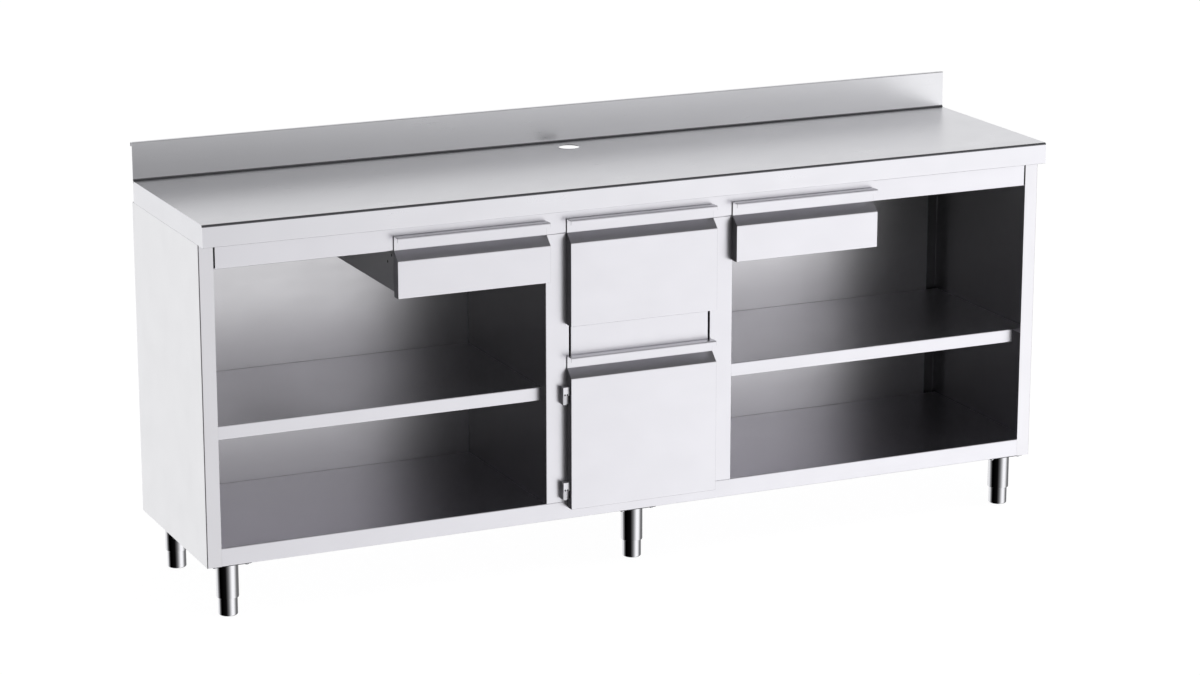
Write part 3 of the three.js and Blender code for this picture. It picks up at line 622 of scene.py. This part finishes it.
# Drawer slides: zinc plated channels, the fixed ones screwed to the carriers, the moving ones to the
# boxes. Pan-head screws show in both channels when a drawer is open.
slide_finish = steel_finish("slide_zinc", (0.56, 0.57, 0.585), 0.34, along_y)
screw_finish = steel_finish("screw_zinc", (0.66, 0.66, 0.67), 0.28, along_x)
screw_recess = [(0.0, 1.1), (0.9, 1.1)]
screw_head = screw_recess + dome(3.6, 1.9)[1:]
channel_sheet = 1.5 * mm
screw_spots = {"moving": (0.05, 0.36, 0.67, 0.97), "fixed": (0.16, 0.52, 0.84)}
for name in nodes:
    if "_slide_" not in name:
        continue
    dress(slide_finish, name)
    drawer, channel = name.split("_drawer_")
    kind = channel.split("_")[0]
    low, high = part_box(name)
    other = "fixed" if kind == "moving" else "moving"
    faces_right = low.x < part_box(name.replace(kind, other))[0].x
    web = low.x + channel_sheet if faces_right else high.x - channel_sheet
    middle = 0.5 * (low.z + high.z)
    spots = [(web, low.y + share * (high.y - low.y), middle) for share in screw_spots[kind]]
    screws = heads(screw_head, spots, "x" if faces_right else "-x")
    body = f"{drawer}_drawer" if kind == "moving" else "carcass"
    skin(f"{name}_screws", screws, screw_finish, body)


# Hangers and carriers: folded 1.2 mm mill sheet that holds the fixed slides. The hangers go down from
# the worktop's underside beside the hung drawers, and black rivets hold the slides to them.
carrier_finish = steel_finish("carrier_mill", (0.55, 0.55, 0.56), 0.38, along_y)
dress(carrier_finish, "drawer_hanger_left", "drawer_hanger_right")
dress(carrier_finish, "deep_drawer_carrier_left", "deep_drawer_carrier_right")
black_rivet_finish = steel_finish("rivet_black", (0.10, 0.10, 0.105), 0.46, along_z)
hanger_rivets = [(-246, 938), (-217, 915), (-30, 915), (160, 915)]
hanger_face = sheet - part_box("drawer_hanger_left")[1].x
for side, sign, axis in (("left", -1, "-x"), ("right", 1, "x")):
    spots = [(sign * hanger_face, depth * mm, height * mm) for depth, height in hanger_rivets]
    name = f"hanger_rivets_{side}"
    skin(name, heads(rivet_dome, spots, axis), black_rivet_finish, "carcass")


# Door pan: the inside of the door, pressed from one 1.2 mm sheet with a sunk field that stiffens it. It
# sits in the folded edges of the door's skin.
pan_finish = steel_finish("pan_mill", (0.70, 0.70, 0.715), 0.34, along_z)
low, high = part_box("door_inner_pan")
halves = (0.5 * (high.x - low.x), 0.5 * (high.z - low.z))
middle = (0.5 * (low.x + high.x), 0.5 * (low.z + high.z))
pan_depth, pan_sheet, pan_bend, pan_corner = 8.0, 1.2, 1.8, 4.0
field_start, field_slope, field_sink = 26.0, 8.0, 3.0
ease = np.linspace(0.0, 1.0, 6)
sink = field_sink * ease**2 * (3.0 - 2.0 * ease)
field = np.stack([field_start + field_slope * ease, sink], axis=-1)
pan_edge = [(0.0, pan_depth)] + arc((pan_bend, pan_bend), pan_bend, 180, 270)
pan_sections = pan_edge + field.tolist() + [(min(halves) / mm, field_sink)]
outside = [(u * mm, v * mm) for u, v in pan_sections]
lifted = [(max(u, pan_sheet), min(v + pan_sheet, pan_depth)) for u, v in reversed(pan_sections)]
inside = [(u * mm, v * mm) for u, v in lifted]
pan = rounded_frame(middle, halves, pan_corner * mm, inside + outside)
pan = np.stack([pan[..., 0], high.y - pan[..., 2], pan[..., 1]], axis=-1)
made = skin("door_pressed_pan", [pan], pan_finish, "door")
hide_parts("door_inner_pan")


# Catch and strike: a black moulded magnet catch screwed to the right post, and the zinc plated strike
# that is riveted to the door's back and meets it.


def moulded_plastic(name, colour):
    """Moulded plastic: fine noise gives the grained surface, coarse noise its worn, shinier patches."""
    made = bpy.data.materials.new(name)
    graph = empty_graph(made)
    place = graph.node("ShaderNodeTexCoord", out="Object")
    grain = graph.node("ShaderNodeTexNoise", inputs={"Vector": place, "Scale": 1800.0, "Detail": 2.0})
    wear = graph.node("ShaderNodeTexNoise", inputs={"Vector": place, "Scale": 60.0, "Detail": 3.0})
    dark = [0.8 * part for part in colour] + [1.0]
    pale = [1.5 * part for part in colour] + [1.0]
    base = mix_colours(graph, wear, dark, pale)
    relief = graph.node("ShaderNodeBump", inputs={"Strength": 0.2, "Distance": 0.0002, "Height": grain})
    inputs = {"Base Color": base, "Roughness": 0.62 - wear * 0.2, "Normal": relief}
    shell = graph.node("ShaderNodeBsdfPrincipled", inputs=inputs)
    graph.node("ShaderNodeOutputMaterial", inputs={"Surface": shell})
    return made


def round_edges(width, *names):
    """Rounds the edges of CAD nodes with live modifiers: equal points joined, then a two-step bevel."""
    for name in names:
        join = nodes[name].modifiers.new("joined", "WELD")
        join.merge_threshold = 1e-5
        bevel = nodes[name].modifiers.new("edges", "BEVEL")
        bevel.width = width
        bevel.segments = 2
        bevel.limit_method = "ANGLE"


catch_edge = 1.2 * mm
catch_finish = moulded_plastic("catch_plastic", (0.045, 0.045, 0.05))
dress(catch_finish, "door_catch")
dress(slide_finish, "door_strike")
round_edges(catch_edge, "door_catch")
low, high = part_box("door_strike")
strike_x, strike_y = 0.5 * (low.x + high.x), low.y + 0.1 * mm
strike_heights = [low.z + share * (high.z - low.z) for share in (0.25, 0.75)]
strike_spots = [(strike_x, strike_y, height) for height in strike_heights]
strike_rivets = heads(dome(2.2, 0.8), strike_spots, "y")
skin("strike_rivets", strike_rivets, screw_finish, "door")


# Hinges: two lift-off hinges of satin cast steel with steel pins. The moving leaf is a full block on the
# door's end, the fixed leaf below it is stepped back so that the door can swing past.
hinge_finish = steel_finish("hinge_cast", satin, satin_rough, along_z)
# Near-black discs on the moving leaves, just above their joint, stand in for the dark holes there:
# painted shade.
hole_shade_finish = moulded_plastic("hinge_hole_shade", (0.02, 0.02, 0.022))
leaf_edge, socket_rise, socket_reaches = 0.5 * mm, 3.0 * mm, (5.4 * mm, 12.4 * mm)
socket_profile = [(0.0, 0.1), (1.9, 0.1), (2.1, 0.3), (2.4, 0.3), (2.6, 0.0), (0.0, 0.0)]
for hinge in ("upper", "lower"):
    leaf = f"hinge_{hinge}_moving_leaf"
    dress(hinge_finish, leaf, f"hinge_{hinge}_fixed_leaf", f"hinge_{hinge}_pin")
    round_edges(leaf_edge, leaf, f"hinge_{hinge}_fixed_leaf")
    low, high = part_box(leaf)
    spots = [(low.x + reach, low.y, low.z + socket_rise) for reach in socket_reaches]
    hole_shades = heads(socket_profile, spots, "-y")
    skin(f"hinge_{hinge}_sockets", hole_shades, hole_shade_finish, "door")
